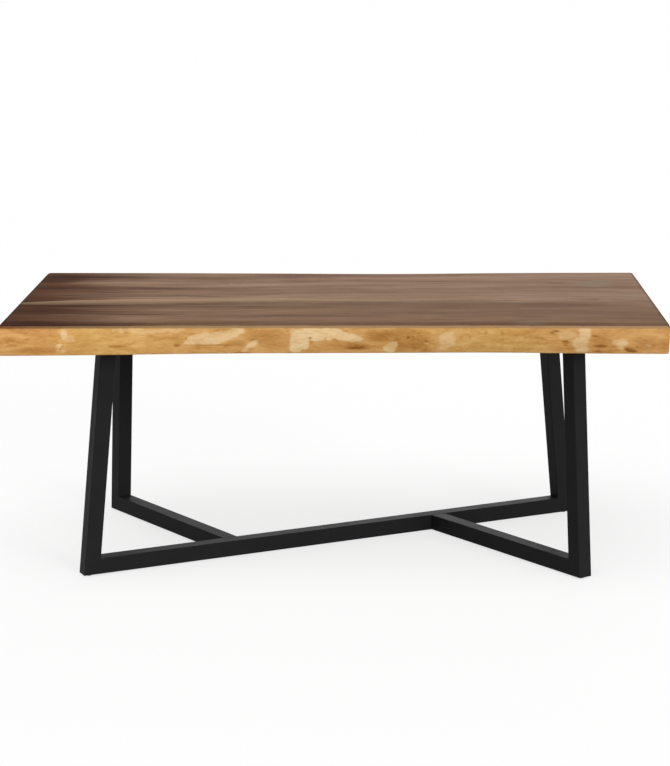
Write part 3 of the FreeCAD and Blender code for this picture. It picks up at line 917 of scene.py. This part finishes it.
def rounded_square(half, corner_radius, distance):
    """Points at given distances along a rounded square, and the angle that each of them faces: straight up a
    side and then round a quarter circle, turned a quarter more for each side passed."""
    straight, quarter = 2 * (half - corner_radius), TURN / 4 * corner_radius
    side, rest = np.divmod(distance, straight + quarter)
    turn = np.clip((rest - straight) / corner_radius, 0, TURN / 4)
    u = half - corner_radius * (1 - np.cos(turn))
    v = np.minimum(rest, straight) - straight / 2 + corner_radius * np.sin(turn)
    facing = side * TURN / 4
    return u * np.cos(facing) - v * np.sin(facing), u * np.sin(facing) + v * np.cos(facing), facing + turn


def weld_bead(corner, finish):
    """A fillet bead round a leg's top: a circle carried round the tube's rounded square. Its radius swells
    with each ripple, as r (1 + swell sin(whole turns of distance / ripple)), and it sinks a little into the
    corner that it fills."""
    plate, along, across = foot_frame(corner)
    low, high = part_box("floor_rail_long")
    half = (high.z - low.z) / 2
    length = 8 * (half - tube_corner_radius) + TURN * tube_corner_radius
    distance = np.linspace(0, length, round(length / bead_ripple) * bead_cuts, endpoint=False)
    p, q, out = (values[:, None] for values in rounded_square(half, tube_corner_radius, distance))
    radius = bead_radius * (1 + bead_swell * np.sin(TURN * distance / bead_ripple))[:, None]
    ring = np.linspace(0, TURN, bead_sides, endpoint=False)
    reach, drop = radius * np.cos(ring), radius * np.sin(ring)
    first = (p + np.cos(out) * reach)[..., None] * np.array(along)
    second = (q + np.sin(out) * reach)[..., None] * np.array(across)
    points = np.array(plate) + first + second
    points[..., 2] += drop - bead_radius * bead_sink
    points = np.concatenate([points, points[:1]])
    return surface("weld_bead_" + corner, [(points, True)], {}, "table", finish)


def glide_screw(corner, finish):
    """A glide's hexagon base and threaded stem, as one surface: the radius is a function of the turn and of
    the height. The base follows the hexagon a / cos(turn within a sixth), capped by the cone of its chamfer,
    and the stem follows a triangle wave of height less turn, which is the thread."""
    low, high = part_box("glide_screw_" + corner)
    centre = (low + high) / 2
    base_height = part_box("glide_nut_" + corner)[0].z - low.z
    whole_height = high.z - low.z
    apothem = (high.y - low.y) / 2
    corner_radius = apothem / math.cos(TURN / 12)
    turn = np.linspace(0, TURN, screw_sides, endpoint=False)[None]
    hexagon = apothem / np.cos((turn % (TURN / 6)) - TURN / 12)
    chamfered = corner_radius - hexagon_chamfer
    cone = np.array([hexagon_middle, chamfered, corner_radius, corner_radius, chamfered])[:, None]
    base_z = np.array([0, 0, hexagon_chamfer, base_height - hexagon_chamfer, base_height])[:, None]
    stem_z = np.linspace(base_height, whole_height, stem_rows)[:, None]
    wave = np.abs((stem_z / thread_pitch - turn / TURN) % 1 * 2 - 1)
    start = np.clip((stem_z - base_height) / thread_pitch, 0, 1)
    chamfer = stem_tip_chamfer - np.clip(whole_height - stem_z, 0, stem_tip_chamfer)
    stem = stem_radius - thread_depth * wave * start - chamfer
    end = np.full((1, turn.size), closing_radius)
    radius = np.vstack([end, np.minimum(hexagon, cone), stem, end])
    x, y = centre.x + radius * np.cos(turn), centre.y + radius * np.sin(turn)
    z = low.z + np.vstack([base_z[:1], base_z, stem_z, stem_z[-1:]]) + 0 * radius
    points = np.stack([x, y, z], axis=-1)
    name = "threaded_glide_" + corner
    piece = surface(name, [(points, True)], {}, corner + "_screw", finish)
    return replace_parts(piece, "glide_screw_" + corner)


# Object

wood, coat, zinc, nylon = slab_wood(), powder_coat(), zinc_plate(), moulded_nylon()
finishes = {"tabletop": wood, "floor_rail": coat, "leg": coat, "top_plate": coat, "plate_screws": zinc,
            "plate_washers": zinc, "thread_inserts": zinc, "glide_nut": zinc, "glide_screw": zinc,
            "glide_sole": nylon}
for name, solid in frame["nodes"].items():
    finish = next(value for start, value in finishes.items() if name.startswith(start))
    solid.data.materials.clear()
    solid.data.materials.append(finish)
slab(wood)
for corner in CORNERS:
    weld_bead(corner, coat)
    glide_screw(corner, zinc)

# Floor and light

floor_size = 120.0
floor_own_light = 0.73
floor_share = 0.26
floor_mottle = 0.995
floor_plain = 0.62
ambient = 0.48


def seen_directly(tree):
    """1 for rays that the camera sees, also by way of reflections and glass, and 0 for the others."""
    direct, glossy, through = (node(tree, "LightPath", output=f"Is {kind} Ray")
                               for kind in ("Camera", "Glossy", "Transmission"))
    return arithmetic("MAXIMUM", direct, arithmetic("MAXIMUM", glossy, through))


def floor_finish():
    """A pale matt floor. What the camera and reflections see is mostly its own white, so that it stays white,
    with a share of real light that keeps the table's shadow."""
    made, place = material("pale_matt_floor")
    tree = made.node_tree
    mottle = cloud(place, 3, detail=2, roughness=0.5)
    shown = mixed(mottle, (floor_share,) * 3, (floor_share * floor_mottle,) * 3)
    lit = node(tree, "BsdfDiffuse", {"Color": shown})
    own = node(tree, "Emission", {"Color": (1, 1, 1, 1), "Strength": floor_own_light})
    both = node(tree, "AddShader", {0: lit, 1: own})
    plain = node(tree, "BsdfDiffuse", {"Color": (floor_plain, floor_plain, floor_plain, 1)})
    put_out(node(tree, "MixShader", {0: seen_directly(tree), 1: plain, 2: both}), "Material")
    return made


def floor():
    """One wide level square that the table stands on."""
    half = floor_size / 2
    corners = [(-half, -half, 0), (half, -half, 0), (half, half, 0), (-half, half, 0)]
    mesh = bpy.data.meshes.new("floor")
    mesh.from_pydata(corners, [], [(0, 1, 2, 3)])
    mesh.materials.append(floor_finish())
    placed("floor", mesh)


def world():
    """An even white room: at full white for the camera and reflections, and dimmer as a light."""
    made = bpy.data.worlds.new("white_room")
    bpy.context.scene.world = made
    made.use_nodes = True
    made.node_tree.nodes.clear()
    strength = seen_directly(made.node_tree) * (1 - ambient) + ambient
    put_out(node(made.node_tree, "Background", {"Color": (1, 1, 1, 1), "Strength": strength}), "World")


def sun(name, azimuth, elevation, spread, level):
    """A soft lamp at a direction: azimuth 0 shines from the front and 90 from the right. A white card that
    faces it renders at the given level."""
    lamp = bpy.data.lights.new(name, "SUN")
    lamp.energy = level * math.pi
    lamp.angle = math.radians(spread)
    made = placed(name, lamp)
    a, e = math.radians(azimuth), math.radians(elevation)
    toward = Vector((math.sin(a) * math.cos(e), -math.cos(a) * math.cos(e), math.sin(e)))
    made.rotation_mode = "QUATERNION"
    made.rotation_quaternion = toward.to_track_quat("Z", "Y")


floor()
world()
sun("front_softbox", azimuth=38, elevation=15, spread=22, level=0.5)
sun("overhead_softbox", azimuth=-20, elevation=68, spread=60, level=0.4)
sun("rear_softbox", azimuth=172, elevation=22, spread=30, level=0.14)

# Camera, from the perspective of the photograph
image_width = 670
image_height = 766
focal_pixels = 2187.416
sensor_width = 36.0
far_limit = 300
camera_place = (0.20405, -6.41094, 1.79438)
camera_pitch = 11.469
camera_yaw = -1.847
camera_roll = -0.178


def camera():
    """A camera that looks down by its pitch, to the side by its yaw, and rolls about its own axis."""
    data = bpy.data.cameras.new("camera")
    data.sensor_width = sensor_width
    data.lens = focal_pixels * sensor_width / max(image_width, image_height)
    data.clip_end = far_limit
    made = placed("camera", data)
    yaw = Matrix.Rotation(math.radians(-camera_yaw), 4, "Z")
    pitch = Matrix.Rotation(math.radians(90 - camera_pitch), 4, "X")
    roll = Matrix.Rotation(math.radians(camera_roll), 4, "Z")
    made.matrix_world = Matrix.Translation(camera_place) @ yaw @ pitch @ roll
    bpy.context.scene.camera = made


camera()
bpy.context.scene.view_settings.view_transform = "Standard"
